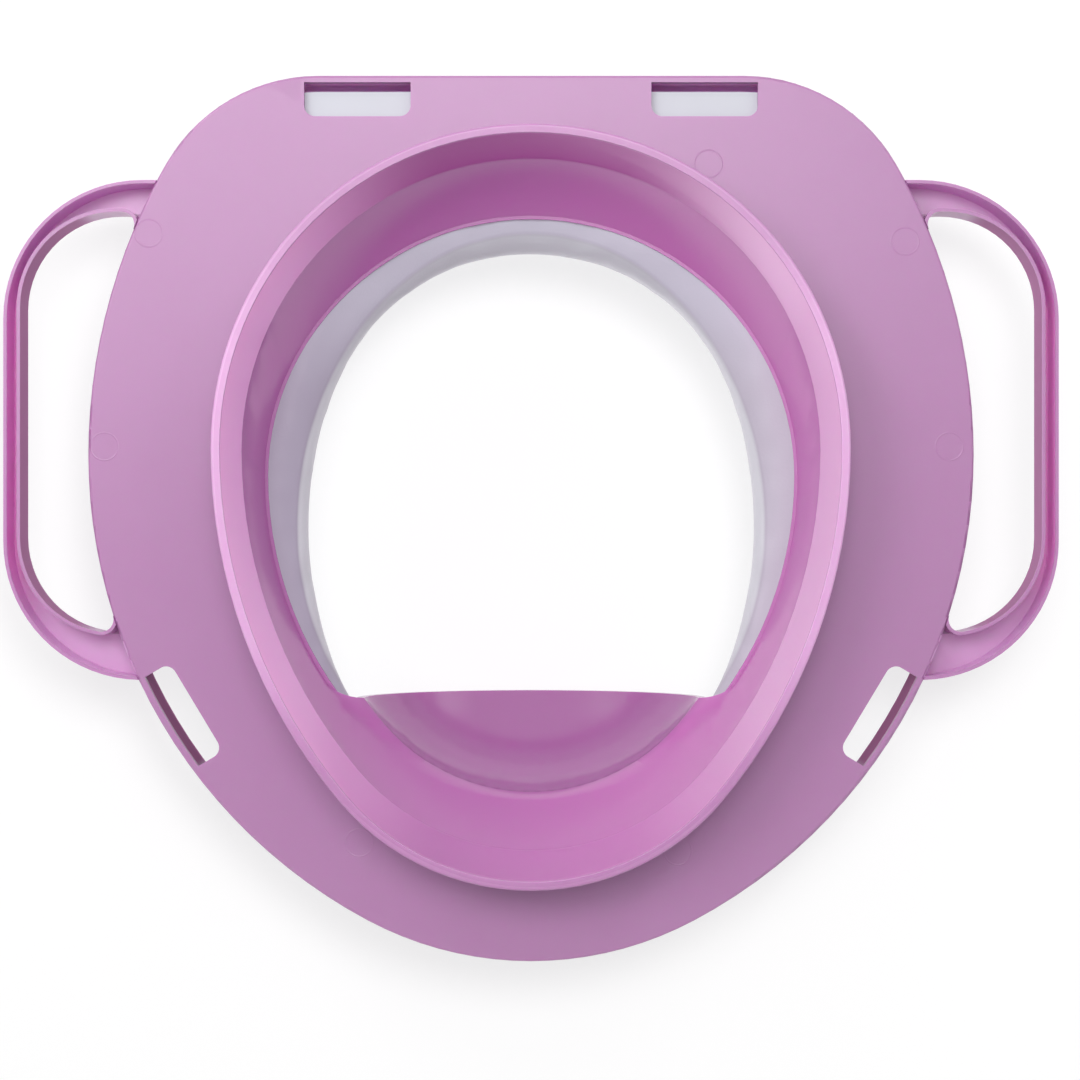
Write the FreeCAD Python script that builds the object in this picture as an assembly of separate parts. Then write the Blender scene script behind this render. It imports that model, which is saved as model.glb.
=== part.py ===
# Potty training seat: a moulded base with a padded ring cushion on top of it.
#
# Frame: millimetres, +Z up as in use, -Y is the front, where the splash guard is. The seat
# stands on the lip of its locating ring at Z = 0, and is mirrored about X = 0.
import FreeCAD, Part
import math
import os

V = FreeCAD.Vector

# Plate and skirt: the flat tray that lies on the toilet seat, and the wall round its edge
plate_half_width = 160.0
plate_widest_y = 23.0
plate_rear_y = 160.0
plate_front_y = -160.0
plate_corner_width = 83.0
plate_rear_turn = 60.0
plate_front_turn = 28.0
plate_bottom = 25.0
plate_thickness = 2.5
skirt_height = 18.0
skirt_wall = 2.5
outer_edge_round = 1.1

# Locating ring: a folded double wall that drops inside the toilet seat
ring_half_width = 112.0
ring_widest_y = 24.5
ring_rear_y = 138.0
ring_front_y = -130.5
ring_rear_turn = 65.0
ring_front_turn = 50.0
ring_wall = 2.2
ring_draft = 0.8
lip_width = 3.0
lip_round = 0.8
inner_wall_side_run = 4.6
inner_wall_rear_run = 5.3
inner_wall_front_run = 7.8
fold_floor = 12.0

# Funnel: from the crease at the foot of the ring up to the opening
funnel_side_run = 7.4
funnel_rear_run = 19.1
funnel_front_run = 17.1
funnel_height = 17.0
opening_widest_y = 15.7
ledge_width = 1.2
rim_thickness = 2.0

# Splash guard: a quarter dome that leans back over the opening
guard_wall = 2.4
guard_base_side_run = 8.9
guard_base_front_run = 1.1
guard_base_height = 6.0
guard_dome_height = 45.0
guard_edge_y = -66.3
guard_apex_y = -36.0
guard_foot_round = 6.0

# Loop handles: upside-down channels on each side
handle_reach = 30.5
handle_rear_y = 122.2
handle_front_y = -58.3
handle_corner_radius = 50.0
handle_side_width = 6.0
handle_rear_width = 11.4
handle_front_width = 16.9
handle_height = 14.5
handle_wall = 1.2
handle_roof = 2.4
handle_top_round = 1.6
finger_gap_radius = 34.5
finger_gap_round = 4.5

# Slots through the plate, flush with the inside of the skirt
rear_slot_length = 38.5
rear_slot_width = 12.3
rear_slot_from_side = 97.3
front_slot_length = 37.5
front_slot_width = 11.5
front_slot_angle = -31.0
slot_round = 4.0

# Cushion: board, foam and cover
board_thickness = 2.0
board_side_margin = 13.0
board_rear_margin = 5.4
board_front_margin = 13.0
board_widest_shift = 11.0
funnel_clearance = 1.0
foam_bulge = 1.6
foam_top = 65.0
seat_gap = 0.3
hole_side_run = 14.5
hole_rear_run = 10.5
hole_widest_y = -3.0
hole_front_turn = 70.0
shoulder_round = 15.0
roll_round = 9.0
roll_lower_round = 5.0
lower_round = 4.0
cover_thickness = 0.8
cover_clearance = 0.2

# Levels worked out from the sizes above
plate_top = plate_bottom + plate_thickness
skirt_top = plate_bottom + skirt_height
handle_top = plate_bottom + handle_height
opening_z = plate_bottom + funnel_height
rim_top = opening_z + rim_thickness
board_top = plate_top + board_thickness
plate_rear_flat = plate_half_width - plate_corner_width
through = 5.0


class Outline:
    """Egg-shaped outline, mirrored about X = 0, made of arcs that meet smoothly.

    Each turn is the angle, in degrees, from the middle of an end arc to where the side arc takes
    over. The radii follow from it, so an outline keeps its turns when it is made narrower.
    """

    def __init__(self, half_width, widest_y, rear_y, front_y, rear_turn, front_turn, rear_flat=0.0):
        self.half_width = half_width
        self.widest_y = widest_y
        self.rear_y = rear_y
        self.front_y = front_y
        self.rear_turn = rear_turn
        self.front_turn = front_turn
        self.rear_flat = rear_flat

    def narrowed(self, side, rear, front):
        """The outline moved inwards by its own amount at the sides, the rear and the front."""
        return Outline(self.half_width - side, self.widest_y, self.rear_y - rear, self.front_y + front,
                       self.rear_turn, self.front_turn, self.rear_flat)

    def inset(self, distance):
        return self.narrowed(distance, distance, distance)

    def scaled(self, factor, about_y):
        def along(y):
            return about_y + (y - about_y) * factor
        return Outline(self.half_width * factor, along(self.widest_y), along(self.rear_y),
                       along(self.front_y), self.rear_turn, self.front_turn, self.rear_flat * factor)

    def arcs(self, end):
        """Centre and radius of the side arc and of the end arc, and where they meet, on the +X side."""
        rear = end == "rear"
        way = 1 if rear else -1
        flat = self.rear_flat if rear else 0
        across = self.half_width - flat
        reach = self.rear_y - self.widest_y if rear else self.widest_y - self.front_y
        turn = math.radians(self.rear_turn if rear else self.front_turn)
        sine, cosine = math.sin(turn), math.cos(turn)
        side = (reach * sine - across * (1 - cosine)) / (sine + cosine - 1)
        nose = (reach - side * cosine) / (1 - cosine)
        side_centre = V(self.half_width - side, self.widest_y, 0)
        nose_centre = V(flat, self.widest_y + way * (reach - nose), 0)
        return side_centre, side, nose_centre, nose, nose_centre + V(sine, way * cosine, 0) * nose

    def side_point(self, degrees):
        """A point on the front side arc, and the outward direction there."""
        centre, radius = self.arcs("front")[:2]
        outward = V(math.cos(math.radians(degrees)), math.sin(math.radians(degrees)), 0)
        return centre + outward * radius, outward

    def wire(self, z):
        widest = V(self.half_width, self.widest_y, 0)
        rear_side_centre, rear_side, corner_centre, corner, rear_join = self.arcs("rear")
        front_side_centre, front_side, nose_centre, nose, front_join = self.arcs("front")
        right = [
            arc(front_join, on_circle(front_side_centre, front_side, front_join, widest), widest),
            arc(widest, on_circle(rear_side_centre, rear_side, widest, rear_join), rear_join),
        ]
        if self.rear_flat > 0:
            flat_end = V(self.rear_flat, self.rear_y, 0)
            right.append(arc(rear_join, on_circle(corner_centre, corner, rear_join, flat_end), flat_end))
            across = Part.LineSegment(flat_end, mirrored(flat_end)).toShape()
        else:
            across = arc(rear_join, V(0, self.rear_y, 0), mirrored(rear_join))
        left = [edge.mirror(V(0, 0, 0), V(1, 0, 0)) for edge in reversed(right)]
        nose_arc = arc(mirrored(front_join), V(0, self.front_y, 0), front_join)
        outline = Part.Wire(right + [across] + left + [nose_arc])
        outline.translate(V(0, 0, z))
        return outline


def mirrored(point):
    return V(-point.x, point.y, point.z)


def arc(start, middle, end):
    return Part.Arc(start, middle, end).toShape()


def on_circle(centre, radius, start, end):
    """The point of a circle halfway between two of its points."""
    towards = (start - centre) + (end - centre)
    return centre + towards.normalize() * radius


def prism(outline, z_low, z_high):
    return Part.Face(outline.wire(z_low)).extrude(V(0, 0, z_high - z_low))


def frustum(low, z_low, high, z_high):
    return Part.makeLoft([low.wire(z_low), high.wire(z_high)], True, True)


def edges_at(shape, z, tolerance=0.01):
    """Edges that lie flat at one level."""
    return [e for e in shape.Edges
            if abs(e.BoundBox.ZMin - z) < tolerance and abs(e.BoundBox.ZMax - z) < tolerance]


def upright_edges(shape):
    return [e for e in shape.Edges
            if e.BoundBox.XLength < 0.01 and e.BoundBox.YLength < 0.01]


def stands_on(outline, edge):
    """Whether an upright edge meets an outline."""
    middle = edge.CenterOfMass
    return outline.wire(middle.z).distToShape(Part.Vertex(middle))[0] < 0.01


def within(outline, edge):
    """Whether an edge lies inside an outline or on it."""
    box = edge.BoundBox
    reach = max(abs(box.XMin), abs(box.XMax))
    return (reach < outline.half_width + 1 and box.YMax < outline.rear_y + 1
            and box.YMin > outline.front_y - 1)


# Outlines that the pieces share
plate = Outline(plate_half_width, plate_widest_y, plate_rear_y, plate_front_y,
                plate_rear_turn, plate_front_turn, plate_rear_flat)
ring = Outline(ring_half_width, ring_widest_y, ring_rear_y, ring_front_y, ring_rear_turn, ring_front_turn)
lip_inner = ring.inset(lip_width)
crease = lip_inner.narrowed(inner_wall_side_run, inner_wall_rear_run, inner_wall_front_run)
opening = Outline(crease.half_width - funnel_side_run, opening_widest_y, crease.rear_y - funnel_rear_run,
                  crease.front_y + funnel_front_run, ring_rear_turn, ring_front_turn)
ledge = opening.inset(-ledge_width)
guard_base = opening.narrowed(guard_base_side_run, 0, guard_base_front_run)
hole = Outline(opening.half_width - hole_side_run, hole_widest_y, opening.rear_y - hole_rear_run,
               opening.front_y - guard_wall - cover_thickness - 2 * cover_clearance,
               ring_rear_turn, hole_front_turn)


def tray():
    """The plate and its skirt, rounded along the lower outer edge."""
    block = prism(plate, plate_bottom, skirt_top)
    block = block.makeFillet(outer_edge_round, edges_at(block, plate_bottom) + edges_at(block, skirt_top))
    return block.cut(prism(plate.inset(skirt_wall), plate_top, skirt_top + through))


def ring_and_funnel():
    """The outside of the ring and of the funnel, still solid inside."""
    outside = frustum(ring, 0, ring.inset(-ring_draft), plate_bottom)
    outside = outside.makeFillet(lip_round, edges_at(outside, 0))
    outside = outside.fuse(prism(ring.inset(-ring_draft), plate_bottom, plate_top))
    return outside.fuse(frustum(crease.inset(-ring_wall), plate_bottom, ledge.inset(-ring_wall), rim_top))


def fold():
    """The groove between the ring's two walls, open at the top."""
    share = fold_floor / plate_bottom
    outer_low = ring.inset(ring_wall - ring_draft * share)
    outer_high = ring.inset(ring_wall - ring_draft)
    inner_low = lip_inner.narrowed(inner_wall_side_run * share, inner_wall_rear_run * share,
                                   inner_wall_front_run * share).inset(-ring_wall)
    groove = frustum(outer_low, fold_floor, outer_high, plate_bottom)
    groove = groove.fuse(prism(outer_high, plate_bottom, plate_top + through))
    groove = groove.cut(frustum(inner_low, fold_floor, crease.inset(-ring_wall), plate_bottom))
    return groove.cut(frustum(crease.inset(-ring_wall), plate_bottom, ledge.inset(-ring_wall), rim_top))


def passage():
    """The way through the ring and the funnel."""
    way = prism(lip_inner, -through, 0).fuse(frustum(lip_inner, 0, crease, plate_bottom))
    way = way.fuse(frustum(crease, plate_bottom, ledge, opening_z))
    return way.fuse(prism(opening, opening_z - through, rim_top + through))


def dome(grow):
    """A dome over the opening, with a low sloping band at its foot."""
    base = guard_base.inset(-grow)
    base_z = opening_z + guard_base_height
    sections = []
    for degrees in (0, 14, 28, 42, 56, 70):
        turn = math.radians(degrees)
        section = base.scaled(math.cos(turn), guard_apex_y)
        sections.append(section.wire(base_z + (guard_dome_height + grow) * math.sin(turn)))
    band = frustum(ledge.inset(-grow), opening_z, base, base_z)
    return band.fuse(Part.makeLoft(sections, True, False))


def guard_reach(grow):
    """Everything in front of the guard's free edge and its rounded foot, moved back by a distance."""
    size = ring_half_width
    corner = V(-size, guard_edge_y + grow, opening_z)
    behind = Part.makeBox(2 * size, size, size, corner)
    foot_edge = [e for e in edges_at(behind, opening_z) if abs(e.CenterOfMass.y - corner.y) < 0.01]
    behind = behind.makeFillet(guard_foot_round, foot_edge)
    space = Part.makeBox(2 * size, size + guard_foot_round, size, corner - V(0, size, 0))
    return space.cut(behind)


def guard():
    """The front part of the dome, as a shell."""
    return dome(guard_wall).cut(dome(0)).common(guard_reach(0))


def d_block(outer, front, rear, radius, z_low, z_high):
    """A block with a D outline on the +X side; its straight back lies inside the plate."""
    back = plate_half_width - handle_reach - handle_corner_radius / 2
    diagonal = radius * (1 - math.sqrt(0.5))
    corners = [V(back, front, z_low), V(outer - radius, front, z_low), V(outer, front + radius, z_low),
               V(outer, rear - radius, z_low), V(outer - radius, rear, z_low), V(back, rear, z_low)]
    edges = [
        Part.LineSegment(corners[0], corners[1]).toShape(),
        arc(corners[1], V(outer - diagonal, front + diagonal, z_low), corners[2]),
        Part.LineSegment(corners[2], corners[3]).toShape(),
        arc(corners[3], V(outer - diagonal, rear - diagonal, z_low), corners[4]),
        Part.LineSegment(corners[4], corners[5]).toShape(),
        Part.LineSegment(corners[5], corners[0]).toShape(),
    ]
    return Part.Face(Part.Wire(edges)).extrude(V(0, 0, z_high - z_low))


def handle_block(inset, z_low, z_high):
    """The outside of the handle, filled in, smaller all round by an inset."""
    return d_block(plate_half_width + handle_reach - inset, handle_front_y + inset, handle_rear_y - inset,
                   handle_corner_radius - inset, z_low, z_high)


def finger_gap(margin, z_low, z_high):
    """The space for the fingers, larger all round by a margin."""
    block = d_block(plate_half_width + handle_reach - handle_side_width + margin,
                    handle_front_y + handle_front_width - margin, handle_rear_y - handle_rear_width + margin,
                    finger_gap_radius + margin, z_low, z_high)
    beside = plate.inset(margin)
    block = block.cut(prism(beside, z_low - through, z_high + through))
    corners = [e for e in upright_edges(block) if stands_on(beside, e)]
    return block.makeFillet(finger_gap_round + margin, corners)


def handle():
    """A channel that is open below, closed at both ends by the skirt."""
    plate_space = prism(plate, plate_bottom - through, skirt_top)
    bar = handle_block(0, plate_bottom, handle_top)
    bar = bar.cut(finger_gap(0, plate_bottom - through, skirt_top)).cut(plate_space)
    top_edges = [e for e in edges_at(bar, handle_top) if not plate_space.isInside(e.CenterOfMass, 0.5, True)]
    bar = bar.makeFillet(handle_top_round, top_edges)
    cavity = handle_block(handle_wall, plate_bottom - through, handle_top - handle_roof)
    cavity = cavity.cut(finger_gap(handle_wall, plate_bottom - 2 * through, skirt_top)).cut(plate_space)
    return bar.cut(cavity)


def rear_slot(side):
    """A slot behind the ring, square where it meets the skirt and rounded inside."""
    outer_y = plate_rear_y - skirt_wall
    box = Part.makeBox(rear_slot_length, rear_slot_width, plate_thickness + 2 * through,
                       V(-rear_slot_length / 2, outer_y - rear_slot_width, plate_bottom - through))
    inner_edges = [e for e in upright_edges(box) if e.CenterOfMass.y < outer_y - rear_slot_width / 2]
    box = box.makeFillet(slot_round, inner_edges)
    box.translate(V(side * (plate_half_width - rear_slot_from_side), 0, 0))
    return box


def front_slot():
    """A slot at the front side; its outer edge follows the skirt."""
    at, outward = plate.inset(skirt_wall).side_point(front_slot_angle)
    box = Part.makeBox(front_slot_width + through, front_slot_length, plate_thickness + 2 * through,
                       V(-front_slot_width, -front_slot_length / 2, plate_bottom - through))
    inner_edges = [e for e in upright_edges(box) if e.CenterOfMass.x < 0]
    box = box.makeFillet(slot_round, inner_edges)
    box.rotate(V(0, 0, 0), V(0, 0, 1), front_slot_angle)
    box.translate(at)
    return box.common(prism(plate.inset(skirt_wall), plate_bottom - through, plate_top + 2 * through))


def seat_base():
    body = tray().fuse(ring_and_funnel())
    body = body.cut(fold()).cut(passage()).cut(dome(0).common(guard_reach(0))).fuse(guard())
    for side in (1, -1):
        body = body.cut(rear_slot(side))
    right_slot = front_slot()
    body = body.cut(right_slot).cut(right_slot.mirror(V(0, 0, 0), V(1, 0, 0)))
    right_handle = handle()
    body = body.fuse(right_handle).fuse(right_handle.mirror(V(0, 0, 0), V(1, 0, 0)))
    return body.removeSplitter()


# The board's outline: narrower than the tray, so that the front slots stay open
board_outline = Outline(plate_half_width - board_side_margin, plate_widest_y + board_widest_shift,
                        plate_rear_y - board_rear_margin, plate_front_y + board_front_margin,
                        plate_rear_turn, plate_front_turn, plate_rear_flat)
board_hole = crease.inset(-ring_wall - funnel_clearance)


def cushion_board():
    return prism(board_outline, plate_top, board_top).cut(prism(board_hole, plate_top - through, board_top + through))


def cushion_body(grow):
    """The padded ring, grown by a distance all round: nought for the foam, more for its cover."""
    spare = cover_thickness + cover_clearance - grow
    low = board_top + spare
    high = foam_top + grow
    underside = rim_top + seat_gap + spare
    body = prism(board_outline.inset(-foam_bulge - grow), low, high)
    body = body.cut(prism(hole.inset(grow), low - through, high + through))
    body = body.cut(prism(board_hole.inset(-spare), low - through, underside))
    inner_edges = {z: [e for e in edges_at(body, z) if within(hole, e)] for z in (high, underside)}
    outer_edges = {z: [e for e in edges_at(body, z) if not within(board_hole, e)] for z in (high, low)}
    body = body.makeFillet(roll_round + grow, inner_edges[high])
    body = body.makeFillet(roll_lower_round + grow, inner_edges[underside])
    body = body.makeFillet(shoulder_round + grow, outer_edges[high])
    body = body.makeFillet(lower_round + grow, outer_edges[low])
    return body.cut(dome(guard_wall + seat_gap + spare).common(guard_reach(seat_gap + spare)))


def cushion_foam():
    return cushion_body(0)


def cushion_cover():
    return cushion_body(cover_clearance + cover_thickness).cut(cushion_body(cover_clearance))


os.makedirs("parts", exist_ok=True)
pieces = {
    "seat_base": seat_base(),
    "cushion_board": cushion_board(),
    "cushion_foam": cushion_foam(),
    "cushion_cover": cushion_cover(),
}
for name, shape in pieces.items():
    shape.exportStep("parts/" + name + ".step")
    box = shape.BoundBox
    print(name, "solids", len(shape.Solids), "valid", shape.isValid(),
          "volume cm3", round(shape.Volume / 1000, 1),
          "box", [round(v, 1) for v in (box.XMin, box.YMin, box.ZMin, box.XMax, box.YMax, box.ZMax)])
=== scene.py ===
# %% [markdown]
# # A potty training seat, seen from below
#
# The construction model already holds the hard parts: the lilac moulding with its locating ring,
# funnel, splash guard and loop handles, and the white board that carries the cushion. This lesson
# dresses those parts, turns the cushion's solid into a soft padded piece, and sets up a white studio
# in which the seat is photographed straight from underneath.
#
# The frame comes first. It is in metres, with +Z up as the seat is used and the guard towards -Y.

# %% Load the frame
import bmesh
import bpy
import math
from mathutils import Matrix, Vector


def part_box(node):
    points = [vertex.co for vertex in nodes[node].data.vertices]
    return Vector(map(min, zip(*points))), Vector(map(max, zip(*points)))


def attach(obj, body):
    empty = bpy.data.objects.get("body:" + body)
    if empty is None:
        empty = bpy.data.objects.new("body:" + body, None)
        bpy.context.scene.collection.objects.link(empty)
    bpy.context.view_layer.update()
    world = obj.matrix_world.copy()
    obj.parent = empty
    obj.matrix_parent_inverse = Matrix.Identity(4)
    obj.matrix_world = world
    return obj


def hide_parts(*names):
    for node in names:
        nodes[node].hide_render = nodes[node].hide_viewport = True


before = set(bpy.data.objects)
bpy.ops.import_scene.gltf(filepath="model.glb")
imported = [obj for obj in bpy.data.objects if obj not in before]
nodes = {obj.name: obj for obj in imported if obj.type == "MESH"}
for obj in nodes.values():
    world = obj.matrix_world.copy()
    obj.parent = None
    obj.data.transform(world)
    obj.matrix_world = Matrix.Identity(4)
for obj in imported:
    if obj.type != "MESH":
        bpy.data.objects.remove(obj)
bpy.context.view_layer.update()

MM = 0.001
print("nodes:", ", ".join(sorted(nodes)))

# %% [markdown]
# ## Shader arithmetic
#
# A shader is easier to read as a formula than as a list of links. `Signal` wraps one output socket,
# and its operators add Math nodes. `Paint` makes a material and adds every other kind of node.

# %% Signals and paints
class Signal:
    """One output of a shader node, which arithmetic turns into further nodes."""

    def __init__(self, paint, socket):
        self.paint = paint
        self.socket = socket

    def math(self, operation, *others):
        node = self.paint.tree.nodes.new("ShaderNodeMath")
        node.operation = operation
        for slot, value in zip(node.inputs, (self,) + others):
            self.paint.feed(slot, value)
        return Signal(self.paint, node.outputs[0])

    def __add__(self, other):
        return self.math("ADD", other)

    def __sub__(self, other):
        return self.math("SUBTRACT", other)

    def __mul__(self, other):
        return self.math("MULTIPLY", other)

    def __truediv__(self, other):
        return self.math("DIVIDE", other)

    def __pow__(self, other):
        return self.math("POWER", other)

    def __abs__(self):
        return self.math("ABSOLUTE")

    def at_least(self, value):
        return self.math("MAXIMUM", value)

    def ramp(self, start, end):
        """0 below the start, 1 above the end, smooth in between; the start may be the higher one."""
        low, high = min(start, end), max(start, end)
        result = self.paint.add("MapRange", interpolation_type="SMOOTHSTEP", Value=self)
        node = result.socket.node
        node.inputs["From Min"].default_value = low
        node.inputs["From Max"].default_value = high
        node.inputs["To Min"].default_value = 0.0 if start < end else 1.0
        node.inputs["To Max"].default_value = 1.0 if start < end else 0.0
        return result


class Paint:
    """A material made of a Principled shader and the signals that feed it."""

    def __init__(self, name, **constants):
        self.material = bpy.data.materials.new(name)
        self.material.use_nodes = True
        self.tree = self.material.node_tree
        self.surface = self.tree.nodes["Principled BSDF"]
        for key, value in constants.items():
            self.surface.inputs[key.replace("_", " ")].default_value = value
        self.place = self.add("TexCoord", output="Object")

    def feed(self, slot, value):
        if isinstance(value, Signal):
            self.tree.links.new(value.socket, slot)
        else:
            slot.default_value = value

    def add(self, kind, output=0, **settings):
        """A node by its kind. Settings that name an input feed it, and the others are properties."""
        node = self.tree.nodes.new("ShaderNode" + kind)
        for key, value in settings.items():
            name = key.replace("_", " ")
            if name in node.inputs:
                self.feed(node.inputs[name], value)
            else:
                setattr(node, key, value)
        return Signal(self, node.outputs[output])

    def axes(self):
        node = self.add("SeparateXYZ", Vector=self.place).socket.node
        return [Signal(self, out) for out in node.outputs]

    def noise(self, scale, detail=2.0, roughness=0.5):
        return self.add("TexNoise", Vector=self.place, Scale=scale, Detail=detail, Roughness=roughness)

    def blend(self, amount, first, second):
        """A colour between two others."""
        node = self.tree.nodes.new("ShaderNodeMix")
        node.data_type = "RGBA"
        self.feed(node.inputs["Factor"], amount)
        self.feed(node.inputs[6], first)
        self.feed(node.inputs[7], second)
        return Signal(self, node.outputs[2])

    def bump(self, height, depth, strength=1.0):
        """Relief of a given depth in metres, from a height signal between 0 and 1."""
        relief = self.add("Bump", Height=height, Distance=depth, Strength=strength)
        self.feed(self.surface.inputs["Normal"], relief)

    def colour(self, value):
        self.feed(self.surface.inputs["Base Color"], value)

    def roughness(self, value):
        self.feed(self.surface.inputs["Roughness"], value)


def tone(red, green, blue):
    """A colour as a screen shows it, from 0 to 255, turned into the shader's linear values."""
    def linear(value):
        value = value / 255
        return value / 12.92 if value <= 0.04045 else ((value + 0.055) / 1.055) ** 2.4
    return (linear(red), linear(green), linear(blue), 1.0)


def dress(piece, paint):
    piece.data.materials.clear()
    piece.data.materials.append(paint.material)
    for polygon in piece.data.polygons:
        polygon.material_index = 0


# %% [markdown]
# ## Where a point lies
#
# Several parts of the seat differ a little in finish: the funnel and the guard are polished, the
# underside of the plate is satin, and thin walls let some light through. Some zones also carry painted
# light and shade: lighter and darker bands in the ring, a glow in the handles' channels, and darker or
# lighter faces in the slots and finger gaps. Each zone is a signal between 0 and 1, worked out from
# the object's own coordinates. An egg-shaped line is two half ellipses, and a handle is a box with
# rounded corners. The lines, boxes and heights here are in millimetres.

# %% Zones
# Half width, widest Y, reach to the rear, reach to the front, and half width of a flat rear
RING_LINE = (112.0, 24.5, 113.5, 155.0)
PLATE_LINE = (160.0, 23.0, 137.0, 183.0, 77.0)
# Outer X, front Y, rear Y and corner radius
HANDLE_BOX = (190.5, -58.3, 122.2, 50.0)
GAP_BOX = (184.5, -41.4, 110.8, 34.5)
HANDLE_MIDDLE_Y = 32.0
PLATE_UNDERSIDE = 25.0
PLATE_TOPSIDE = 27.5
# The middle of a front slot, how far it is turned, and how much the skirt bows beside it, per metre
SLOT_X = 138.0
SLOT_Y = -73.0
SLOT_TURN = math.radians(31.0)
SKIRT_BOW = 2.2


def egg(paint, half_width, widest_y, rear, front, flat=0.0):
    """How far out a point lies: 1 on an egg-shaped line, less inside it. Sizes are in millimetres."""
    x, y, z = paint.axes()
    along = y - widest_y * MM
    behind = along.ramp(-0.01 * MM, 0.01 * MM)
    reach = behind * ((rear - front) * MM) + front * MM
    level = behind * (flat * MM)
    across = (abs(x) - level).at_least(0.0) / ((level - half_width * MM) * -1.0)
    return (across ** 2.0 + (along / reach) ** 2.0) ** 0.5


def outside_handle_box(paint, outer_x, front, rear, radius):
    """The distance in metres outside a rounded box on both sides of the seat, negative within it."""
    x, y, z = paint.axes()
    across = (abs(x) - (outer_x - radius) * MM).at_least(0.0)
    along = (abs(y - (front + rear) / 2 * MM) - ((rear - front) / 2 - radius) * MM).at_least(0.0)
    return (across ** 2.0 + along ** 2.0) ** 0.5 - radius * MM


def handle_zones(paint):
    """The inside of the handles' channels, and the faces round the finger gaps."""
    x, y, z = paint.axes()
    within = outside_handle_box(paint, *HANDLE_BOX).ramp(-0.7 * MM, -1.0 * MM)
    from_gap = outside_handle_box(paint, *GAP_BOX)
    beside_plate = egg(paint, *PLATE_LINE).ramp(0.985, 0.99) * z.ramp(25.3 * MM, 25.7 * MM)
    beside_plate = beside_plate * z.ramp(38.6 * MM, 38.0 * MM)
    channel = within * from_gap.ramp(0.6 * MM, 0.9 * MM) * beside_plate
    away_from_joints = abs(x).ramp(158.0 * MM, 166.0 * MM)
    gap_face = abs(from_gap).ramp(0.8 * MM, 0.5 * MM) * beside_plate * away_from_joints
    return channel, gap_face


def above_plate(z):
    return z.ramp((PLATE_TOPSIDE + 0.1) * MM, (PLATE_TOPSIDE + 0.5) * MM)


def front_slot_wall(paint):
    """The skirt's inner face beside the two front slots."""
    x, y, z = paint.axes()
    sideways = abs(x) - SLOT_X * MM
    forward = y - SLOT_Y * MM
    outward = sideways * math.cos(SLOT_TURN) - forward * math.sin(SLOT_TURN)
    along = sideways * math.sin(SLOT_TURN) + forward * math.cos(SLOT_TURN)
    beside = abs(along).ramp(25.0 * MM, 21.0 * MM)
    bowed = outward + (along + 4.0 * MM) ** 2.0 * SKIRT_BOW
    within = outward.ramp(-14.0 * MM, -12.0 * MM) * bowed.ramp(-4.4 * MM, -4.9 * MM)
    return beside * within * above_plate(z)


def rear_slot_wall(paint):
    """The skirt's inner face beside the two rear slots."""
    x, y, z = paint.axes()
    beside = abs(x).ramp(87.0 * MM, 84.0 * MM)
    within = y.ramp(150.0 * MM, 152.0 * MM) * y.ramp(159.2 * MM, 158.6 * MM)
    return beside * within * above_plate(z)


# %% [markdown]
# ## Lilac plastic
#
# The moulding is polypropylene. Its ejector pins left faint circles, 10 mm across, on the underside
# of the plate. They are far too shallow for a mesh, so a bump draws them: one thin ring for each pin,
# all of them in one height signal.

# %% The moulding's material
PIN_RADIUS = 5.0 * MM
PIN_PLACES = [(-135, 100), (-151, 26), (154, 26), (138, 103), (-64, 128), (62, -117), (-53, -120)]


def pin_marks(paint):
    x, y, z = paint.axes()
    total = None
    for pin_x, pin_y in PIN_PLACES:
        away = ((x - pin_x * MM) ** 2.0 + (y - pin_y * MM) ** 2.0) ** 0.5
        ring = abs(away - PIN_RADIUS).ramp(0.35 * MM, 0.0)
        total = ring if total is None else total + ring
    under_plate = abs(z - PLATE_UNDERSIDE * MM).ramp(1.0 * MM, 0.2 * MM)
    return total * under_plate


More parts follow.
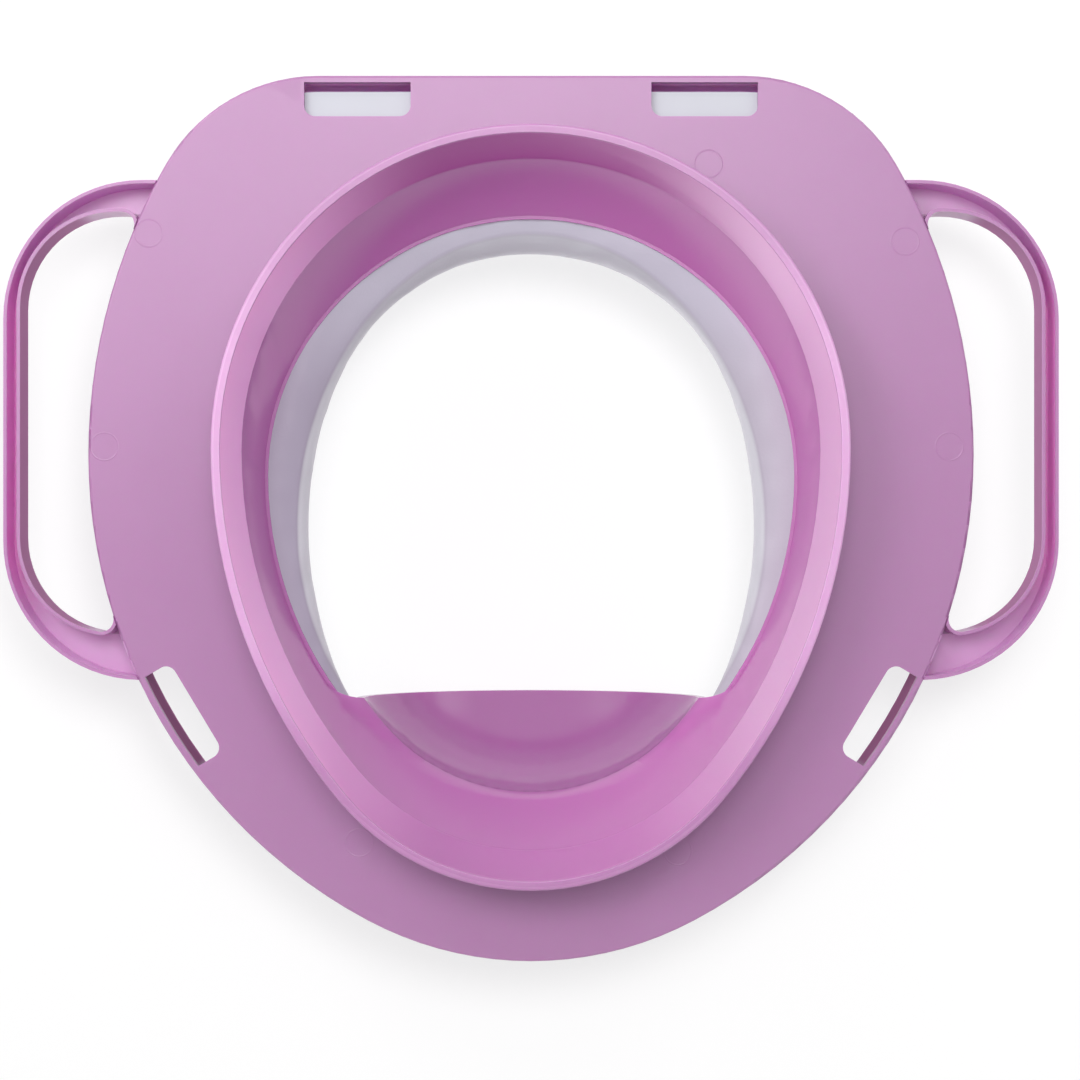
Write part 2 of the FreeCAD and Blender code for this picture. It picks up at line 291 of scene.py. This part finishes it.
def lilac_plastic():
    paint = Paint("lilac_plastic", IOR=1.49, Specular_IOR_Level=0.75, Subsurface_Weight=0.35,
                  Subsurface_Radius=(0.005, 0.0015, 0.004), Subsurface_Scale=1.0)
    x, y, z = paint.axes()
    inside = egg(paint, *RING_LINE).ramp(0.995, 0.985)
    steep = inside * z.ramp(25.2 * MM, 24.2 * MM) * z.ramp(0.6 * MM, 1.5 * MM)
    lip = z.ramp(1.0 * MM, 0.5 * MM)
    lip_highlight_fade = abs(y - 10.0 * MM).ramp(45.0 * MM, 105.0 * MM)
    guard = inside * z.ramp(46.0 * MM, 50.0 * MM)
    # Painted light: the lighter pink laid on the steep inner band at the sides, lighter towards +X.
    painted_side_light = paint.blend(x.ramp(-40.0 * MM, 40.0 * MM), tone(219, 166, 209), tone(236, 168, 224))
    channel, gap_face = handle_zones(paint)
    front_wall, rear_wall = front_slot_wall(paint), rear_slot_wall(paint)
    colour = paint.blend(paint.noise(14.0, 6.0, 0.7), tone(172, 121, 168), tone(166, 115, 161))
    # Painted shade and light: inside the ring the lilac is laid deeper and the guard darker, as shaded
    # copies of the plate's colour, and the funnel is lighter towards -X.
    funnel = paint.blend(x.ramp(40.0 * MM, -90.0 * MM), tone(173, 101, 164), tone(188, 113, 176))
    colour = paint.blend(inside, colour, funnel)
    colour = paint.blend(guard, colour, tone(158, 98, 152))
    # Painted shade: the steep inner band is darker and deeper towards the rear.
    colour = paint.blend(steep * y.ramp(70.0 * MM, 110.0 * MM), colour, tone(160, 48, 144))
    # Painted light on the steep inner band at the sides.
    colour = paint.blend(steep * abs(x).ramp(30.0 * MM, 96.0 * MM) * 0.9, colour, painted_side_light)
    # Painted highlight: the lip is lighter than the plate along the sides, fading towards the rear and
    # the front.
    colour = paint.blend(lip, colour, paint.blend(lip_highlight_fade, tone(210, 162, 205), tone(180, 128, 175)))
    # Painted light: a lighter glow in the handles' channels, pinker along the straight part and paler
    # at the joints.
    turning = abs(y - HANDLE_MIDDLE_Y * MM).ramp(40.0 * MM, 72.0 * MM)
    channel_painted_glow = paint.blend(turning, tone(232, 162, 216), tone(208, 162, 205))
    colour = paint.blend(channel, colour, channel_painted_glow)
    # Painted shade: the faces round the finger gaps are darker.
    colour = paint.blend(gap_face * 0.6, colour, tone(150, 84, 126))
    # Painted shade: the skirt's inner face beside the front slots is darker.
    colour = paint.blend(front_wall, colour, tone(150, 68, 126))
    # Painted light: the skirt's inner face beside the rear slots is lighter.
    colour = paint.blend(rear_wall, colour, tone(246, 176, 236))
    paint.colour(colour)
    dull = front_wall + rear_wall + gap_face
    polish = inside * 0.13 + guard * 0.06
    paint.roughness(paint.noise(60.0, 6.0) * 0.03 + 0.31 - polish + steep * 0.25 + dull * 0.5)
    paint.bump(pin_marks(paint), 0.12 * MM, 0.55)
    return paint


base_paint = lilac_plastic()
print("lilac plastic with", len(PIN_PLACES), "pin marks")

# %% [markdown]
# ## The moulding
#
# The construction mesh is loose triangles. A bevel rounds its sharp edges by a few tenths of a
# millimetre, which is what makes the thin walls catch the light, and weighted normals keep the flat
# faces flat beside their rounded edges.

# %% Round and shade the moulding
def finish_hard_part(piece, round_mm):
    weld = piece.modifiers.new("Weld", "WELD")
    weld.merge_threshold = 0.002 * MM
    soften = piece.modifiers.new("Round edges", "BEVEL")
    soften.width = round_mm * MM
    soften.segments = 2
    soften.limit_method = "ANGLE"
    soften.angle_limit = math.radians(38)
    soften.harden_normals = False
    smooth = piece.modifiers.new("Normals", "WEIGHTED_NORMAL")
    smooth.keep_sharp = True
    smooth.weight = 80
    for polygon in piece.data.polygons:
        polygon.use_smooth = True


base = nodes["seat_base"]
dress(base, base_paint)
finish_hard_part(base, 0.45)
print("moulding:", len(base.data.polygons), "faces before rounding")

# %% [markdown]
# ## The board
#
# A white plastic ring under the cushion. From below it shows only through the rear slots.

# %% The board's material and finish
def white_plastic():
    paint = Paint("white_plastic", IOR=1.49)
    paint.colour(paint.blend(paint.noise(30.0), tone(194, 196, 203), tone(189, 191, 199)))
    paint.roughness(paint.noise(80.0, 3.0).ramp(0.2, 0.8) * 0.1 + 0.45)
    return paint


board = nodes["cushion_board"]
dress(board, white_plastic())
finish_hard_part(board, 0.3)
print("board:", len(board.data.polygons), "faces before rounding")

# %% [markdown]
# ## The cushion
#
# The foam's solid is copied, remeshed evenly, and blown up a little as cloth with some pressure
# inside. Its movement is capped, and it may not sink below the top of the board. That gives the
# slack, uneven swell of vinyl stretched over foam.

# %% Blow up the cushion
VOXEL = 4.5 * MM
CAP = 3.0 * MM


def copy_solid(node, name):
    mesh = node.data.copy()
    mesh.name = name
    piece = bpy.data.objects.new(name, mesh)
    bpy.context.scene.collection.objects.link(piece)
    work = bmesh.new()
    work.from_mesh(mesh)
    bmesh.ops.remove_doubles(work, verts=work.verts, dist=0.005 * MM)
    bmesh.ops.recalc_face_normals(work, faces=work.faces)
    work.to_mesh(mesh)
    work.free()
    return piece


def apply_modifiers(piece):
    graph = bpy.context.evaluated_depsgraph_get()
    mesh = bpy.data.meshes.new_from_object(piece.evaluated_get(graph))
    piece.modifiers.clear()
    old = piece.data
    piece.data = mesh
    bpy.data.meshes.remove(old)


def remesh(piece, voxel):
    modifier = piece.modifiers.new("Even mesh", "REMESH")
    modifier.mode = "VOXEL"
    modifier.voxel_size = voxel
    modifier.use_smooth_shade = True
    apply_modifiers(piece)


def inflate(piece, pressure, frames=20):
    cloth = piece.modifiers.new("Swell", "CLOTH")
    cloth.settings.use_pressure = True
    cloth.settings.uniform_pressure_force = pressure
    cloth.settings.effector_weights.gravity = 0.0
    cloth.settings.tension_stiffness = 30
    cloth.settings.bending_stiffness = 2
    cloth.point_cache.frame_start = 1
    cloth.point_cache.frame_end = frames
    for step in range(1, frames + 1):
        bpy.context.scene.frame_set(step)
    apply_modifiers(piece)
    bpy.context.scene.frame_set(1)


def cap_movement(piece, rest, limit):
    """Holds each point within a distance of where it was, and above the board."""
    board_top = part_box("cushion_board")[1].z
    for vertex, start in zip(piece.data.vertices, rest):
        move = vertex.co - start
        if move.length > limit:
            vertex.co = start + move * (limit / move.length)
        vertex.co.z = max(vertex.co.z, board_top + 0.2 * MM)


cushion = copy_solid(nodes["cushion_foam"], "cushion_padded")
remesh(cushion, VOXEL)
rest_points = [v.co.copy() for v in cushion.data.vertices]
inflate(cushion, 4.0)
cap_movement(cushion, rest_points, CAP)
subdivide = cushion.modifiers.new("Smooth", "SUBSURF")
subdivide.levels = subdivide.render_levels = 1
for polygon in cushion.data.polygons:
    polygon.use_smooth = True
print("cushion:", len(cushion.data.vertices), "points")


# %% Vinyl
SEAM = (86.5, -2.0, 107.5, 101.5)


def vinyl():
    paint = Paint("white_vinyl", IOR=1.5, Specular_IOR_Level=0.4)
    x, y, z = paint.axes()
    out = egg(paint, *SEAM)
    low = z.ramp(56.0 * MM, 50.0 * MM)
    seam = abs(out - 1.0).ramp(0.012, 0.002) * low
    skin = out.ramp(0.995, 1.005) * low
    rear = y.ramp(40.0 * MM, 90.0 * MM)
    # Painted shade: the white vinyl is laid a light grey, and darker still low on the roll at the
    # rear.
    shaded_vinyl = paint.blend(paint.noise(14.0, 3.0), tone(202, 204, 208), tone(194, 196, 202))
    shaded_vinyl = paint.blend(rear * low * 0.7, shaded_vinyl, tone(178, 180, 186))
    # Painted shade: the flat skin outside the seam line is darker under the rim, darkest towards +X
    # and lighter at the rear.
    sides = paint.blend(x.ramp(40.0 * MM, -40.0 * MM), tone(157, 148, 168), tone(177, 170, 184))
    under = paint.blend(rear, sides, tone(190, 188, 202))
    paint.colour(paint.blend(seam * 0.15, paint.blend(skin * 0.8, shaded_vinyl, under), tone(140, 130, 146)))
    paint.roughness(paint.noise(40.0, 3.0).ramp(0.2, 0.8) * 0.12 + 0.36)
    grain = paint.noise(900.0, 2.0) * 0.3 + paint.noise(45.0, 2.0) * 0.4
    paint.bump(grain - seam * 0.35, 0.35 * MM, 0.5)
    return paint


dress(cushion, vinyl())
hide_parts("cushion_cover", "cushion_foam")
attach(cushion, "root")
print("vinyl:", len(cushion.data.materials), "material on", cushion.name)

# %% [markdown]
# ## The studio
#
# The seat stands on a floor for the views from above. For the view from below a second plane lies
# just over the cushion, as the table does in a photograph of a seat turned over. Its middle lies
# deeper, to clear the guard, and the cushion hides the step. Each plane shows only its front, and
# neither shades the lamps on its other side.

# %% Floor and backdrop
DISC_RADIUS = 2.0
FADE_START = 0.35
FADE_END = 1.2


def level_disc(height):
    work = bmesh.new()
    bmesh.ops.create_circle(work, cap_ends=True, segments=64, radius=DISC_RADIUS,
                            matrix=Matrix.Translation((0, 0, height)))
    return work


def stepped_disc(height, dip_height, dip_radius):
    """A disc whose middle lies at another height, with nothing between the two."""
    work = bmesh.new()
    loops = []
    for radius, level in ((DISC_RADIUS, height), (dip_radius, height), (dip_radius, dip_height)):
        made = bmesh.ops.create_circle(work, segments=64, radius=radius,
                                       matrix=Matrix.Translation((0, 0, level)))
        loops.append(list({edge for vertex in made["verts"] for edge in vertex.link_edges}))
    bmesh.ops.bridge_loops(work, edges=loops[0] + loops[1])
    bmesh.ops.contextual_create(work, geom=loops[2])
    return work


def one_sided(name, work, facing_up, whiteness):
    """Paper that shows from one side only, and that fades to plain white far from the seat."""
    mesh = bpy.data.meshes.new(name)
    work.normal_update()
    wrong_way = [face for face in work.faces if (face.normal.z > 0) != facing_up]
    bmesh.ops.reverse_faces(work, faces=wrong_way)
    work.to_mesh(mesh)
    work.free()
    plane = bpy.data.objects.new(name, mesh)
    bpy.context.scene.collection.objects.link(plane)
    plane.visible_shadow = False

    material = bpy.data.materials.new(name)
    material.use_nodes = True
    tree = material.node_tree
    tree.nodes.clear()
    paper = tree.nodes.new("ShaderNodeBsdfDiffuse")
    paper.inputs["Color"].default_value = (0.95, 0.95, 0.95, 1)
    glow = tree.nodes.new("ShaderNodeEmission")
    glow.inputs["Strength"].default_value = 1.0
    lit = tree.nodes.new("ShaderNodeMixShader")
    place = tree.nodes.new("ShaderNodeTexCoord")
    away = tree.nodes.new("ShaderNodeVectorMath")
    away.operation = "LENGTH"
    fade = tree.nodes.new("ShaderNodeMapRange")
    fade.inputs["From Min"].default_value = FADE_START
    fade.inputs["From Max"].default_value = FADE_END
    fade.inputs["To Min"].default_value = whiteness
    fade.inputs["To Max"].default_value = 1.0
    nothing = tree.nodes.new("ShaderNodeBsdfTransparent")
    sides = tree.nodes.new("ShaderNodeMixShader")
    geometry = tree.nodes.new("ShaderNodeNewGeometry")
    output = tree.nodes.new("ShaderNodeOutputMaterial")
    tree.links.new(place.outputs["Object"], away.inputs[0])
    tree.links.new(away.outputs["Value"], fade.inputs["Value"])
    tree.links.new(fade.outputs[0], lit.inputs["Fac"])
    tree.links.new(paper.outputs[0], lit.inputs[1])
    tree.links.new(glow.outputs[0], lit.inputs[2])
    tree.links.new(geometry.outputs["Backfacing"], sides.inputs["Fac"])
    tree.links.new(lit.outputs[0], sides.inputs[1])
    tree.links.new(nothing.outputs[0], sides.inputs[2])
    tree.links.new(sides.outputs[0], output.inputs["Surface"])
    mesh.materials.append(material)
    return plane


guard_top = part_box("seat_base")[1].z
cushion_top = max((cushion.matrix_world @ vertex.co).z for vertex in cushion.data.vertices)
floor = one_sided("floor", level_disc(0.0), True, 0.45)
floor.visible_diffuse = False
table_shape = stepped_disc(cushion_top + 1.0 * MM, guard_top + 0.5 * MM, 118.0 * MM)
table = one_sided("table", table_shape, False, 0.66)
print("floor at 0, table at", round(cushion_top * 1000, 1), "mm")


# %% World and lamps
def white_world(strength):
    """White to the camera, softer as light."""
    world = bpy.data.worlds.new("world")
    bpy.context.scene.world = world
    world.use_nodes = True
    tree = world.node_tree
    background = tree.nodes["Background"]
    path = tree.nodes.new("ShaderNodeLightPath")
    seen = tree.nodes.new("ShaderNodeMath")
    seen.operation = "MAXIMUM"
    level = tree.nodes.new("ShaderNodeMapRange")
    level.inputs["To Min"].default_value = strength
    level.inputs["To Max"].default_value = 1.0
    tree.links.new(path.outputs["Is Camera Ray"], seen.inputs[0])
    tree.links.new(path.outputs["Is Transmission Ray"], seen.inputs[1])
    tree.links.new(seen.outputs[0], level.inputs["Value"])
    background.inputs["Color"].default_value = (1, 1, 1, 1)
    tree.links.new(level.outputs[0], background.inputs["Strength"])


def lamp(name, place, width, height, power, only_on=()):
    """A soft lamp, aimed at the seat. It can be kept to the pieces that are named."""
    light = bpy.data.lights.new(name, "AREA")
    light.shape = "ELLIPSE"
    light.size = width
    light.size_y = height
    light.energy = power
    holder = bpy.data.objects.new(name, light)
    bpy.context.scene.collection.objects.link(holder)
    holder.location = place
    holder.rotation_euler = (Vector((0, 0, 0.03)) - Vector(place)).to_track_quat("-Z", "Y").to_euler()
    if only_on:
        lit = bpy.data.collections.new(name + "_lights")
        for piece in only_on:
            lit.objects.link(piece)
        holder.light_linking.receiver_collection = lit
    return holder


white_world(0.58)
# Name, place, width, height, power, and the pieces it is kept to
lamp("key_below", (0.56, 0.36, -0.86), 0.5, 0.5, 3.3, (base, board, cushion))
lamp("table_below", (-0.22, 0.30, -1.00), 0.4, 0.4, 3.0, (table,))
lamp("glint_left", (-0.63, 0.74, -0.45), 0.08, 0.5, 1.0)
lamp("glint_right", (0.60, 0.76, -0.47), 0.25, 0.5, 1.6)
lamp("sheen_below", (0.0, 0.30, -1.00), 0.55, 0.55, 4.2)
lamp("key_above", (0.6, -0.7, 1.0), 0.9, 0.9, 6.0)
print("lamps:", len(bpy.data.lights))

# %% [markdown]
# ## The camera
#
# The lens is long and looks straight up at the underside, from just off the middle of the seat.

# %% Camera
DISTANCE = 794.0 * MM
LENS = 73.33

camera = bpy.data.objects.new("camera", bpy.data.cameras.new("camera"))
bpy.context.scene.collection.objects.link(camera)
camera.location = (-3.25 * MM, -7.76 * MM, PLATE_UNDERSIDE * MM - DISTANCE)
camera.rotation_euler = (0.0, math.pi, 0.0)
camera.data.lens = LENS
camera.data.sensor_width = 36.0
bpy.context.scene.camera = camera
bpy.context.scene.view_settings.view_transform = "Standard"
print("camera", round(DISTANCE * 1000), "mm below the plate")
